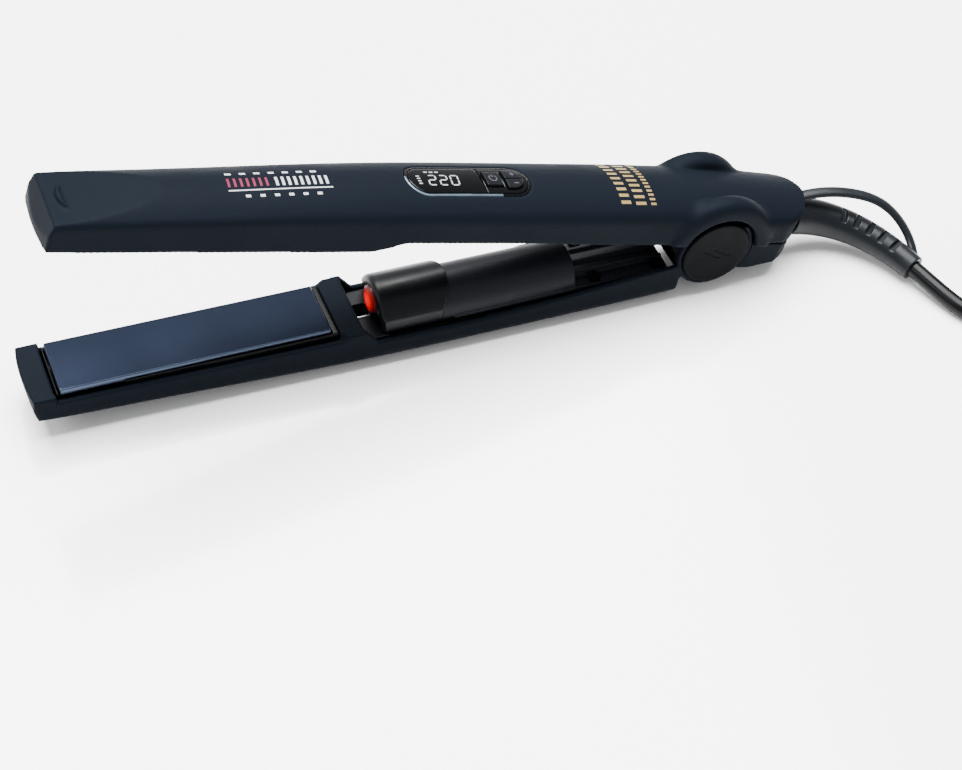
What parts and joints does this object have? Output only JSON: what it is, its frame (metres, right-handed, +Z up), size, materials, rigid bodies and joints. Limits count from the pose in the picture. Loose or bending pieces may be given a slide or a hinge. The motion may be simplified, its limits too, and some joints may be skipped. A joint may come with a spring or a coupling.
{
  "type": "flat iron",
  "caption": "Hair straightener with two hinged arms, coated floating plates, an ion outlet with a lit dome, a digital display with keys, a ribbed cord sleeve, a coiled cord and a plug.",
  "frame": {"origin": "middle of the flat on the lower arm's belly, which rests on the table", "axes": "+X from the plates to the cord along the lower arm, +Y across the arm, away from the side with the open view, +Z up"},
  "size_m": [0.4673, 0.1143, 0.1004],
  "materials": {
    "shell": "soft-touch coat, fine grain",
    "inner_cover": "moulded, fine texture",
    "grip": "moulded satin",
    "holder": "heat-proof moulding, semi-gloss",
    "plate": "blue-grey ceramic coat, satin",
    "heater": "foil-wrapped",
    "silicone": "matt",
    "lead_sleeve": "glass-fibre sleeve",
    "bezel": "satin blue-grey",
    "smoked_window": "polished",
    "module": "moulded",
    "lit_digits": "lit",
    "gloss_black": "polished",
    "key": "satin",
    "switch_metal": "plain",
    "board": "solder mask",
    "board_parts": "moulded",
    "spring_steel": "oiled",
    "screw_steel": "blackened",
    "print_white": "screen print",
    "print_gold": "gold screen print",
    "cap": "fine satin",
    "smoked_dome": "smoked, see-through",
    "red_lamp": "lit",
    "needle_steel": "polished",
    "rubber": "soft PVC, satin",
    "cord_jacket": "PVC, glossy",
    "plug_plastic": "moulded PVC",
    "pin_metal": "nickel-plated"
  },
  "bodies": {
    "upper_arm": {"upper_shell": "shell", "upper_inner_cover": "inner_cover", "rear_cover": "shell", "upper_plate_holder": "holder", "upper_cushions": "silicone", "upper_leads": "lead_sleeve", "display_bezel": "bezel", "display_lens": "smoked_window", "display_module": "module", "display_digits": "lit_digits", "button_panel": "gloss_black", "key_switches": "switch_metal", "control_board": "board", "board_parts": "board_parts", "torsion_spring": "spring_steel", "upper_screws": "screw_steel", "mains_leads": "lead_sleeve", "cord_clamp": "inner_cover", "front_print": "print_white", "rear_print": "print_gold", "strain_relief": "rubber", "hanging_loop": "rubber", "cord": "cord_jacket", "cord_coil": "cord_jacket", "cord_tail": "cord_jacket", "plug_body": "plug_plastic", "plug_pins": "pin_metal"},
    "lower_arm": {"lower_shell": "shell", "hinge_caps": "cap", "hinge_pin": "spring_steel", "lower_inner_cover": "grip", "lower_plate_holder": "holder", "lower_cushions": "silicone", "lower_leads": "lead_sleeve", "ion_dome": "smoked_dome", "ion_lamp": "red_lamp", "ion_outlet": "inner_cover", "ion_needle": "needle_steel", "ion_generator": "module", "lower_screws": "screw_steel"},
    "upper_plate_float": {"upper_plate": "plate", "upper_heater": "heater"},
    "lower_plate_float": {"lower_plate": "plate", "lower_heater": "heater", "thermal_fuse": "switch_metal"},
    "power_key": {"power_button": "key"},
    "plus_key": {"plus_button": "key"},
    "minus_key": {"minus_button": "key"}
  },
  "joints": [
    {"name": "arms_hinge", "type": "hinge", "parent": "upper_arm", "child": "lower_arm", "pos_m": [0.105, 0, 0.0216], "axis": [0, 1, 0], "range_deg": [0, 14.5], "stiffness_Nm_per_rad": 2.4, "springref_deg": -14.32, "deforming": ["torsion_spring"]},
    {"name": "upper_plate_float_slide", "type": "slide", "parent": "upper_arm", "child": "upper_plate_float", "axis": [0.2504, 0, 0.9681], "range_m": [0, 0.0008], "stiffness_N_per_m": 4000, "springref_m": -0.0004, "deforming": ["upper_cushions"]},
    {"name": "lower_plate_float_slide", "type": "slide", "parent": "lower_arm", "child": "lower_plate_float", "axis": [0, 0, -1], "range_m": [0, 0.0008], "stiffness_N_per_m": 4000, "springref_m": -0.0004, "deforming": ["lower_cushions"]},
    {"name": "power_key_press", "type": "slide", "parent": "upper_arm", "child": "power_key", "axis": [-0.2504, 0, -0.9681], "range_m": [0, 0.0005], "stiffness_N_per_m": 1500, "springref_m": -0.0004},
    {"name": "plus_key_press", "type": "slide", "parent": "upper_arm", "child": "plus_key", "axis": [-0.2504, 0, -0.9681], "range_m": [0, 0.0005], "stiffness_N_per_m": 1500, "springref_m": -0.0004},
    {"name": "minus_key_press", "type": "slide", "parent": "upper_arm", "child": "minus_key", "axis": [-0.2504, 0, -0.9681], "range_m": [0, 0.0005], "stiffness_N_per_m": 1500, "springref_m": -0.0004}
  ]
}
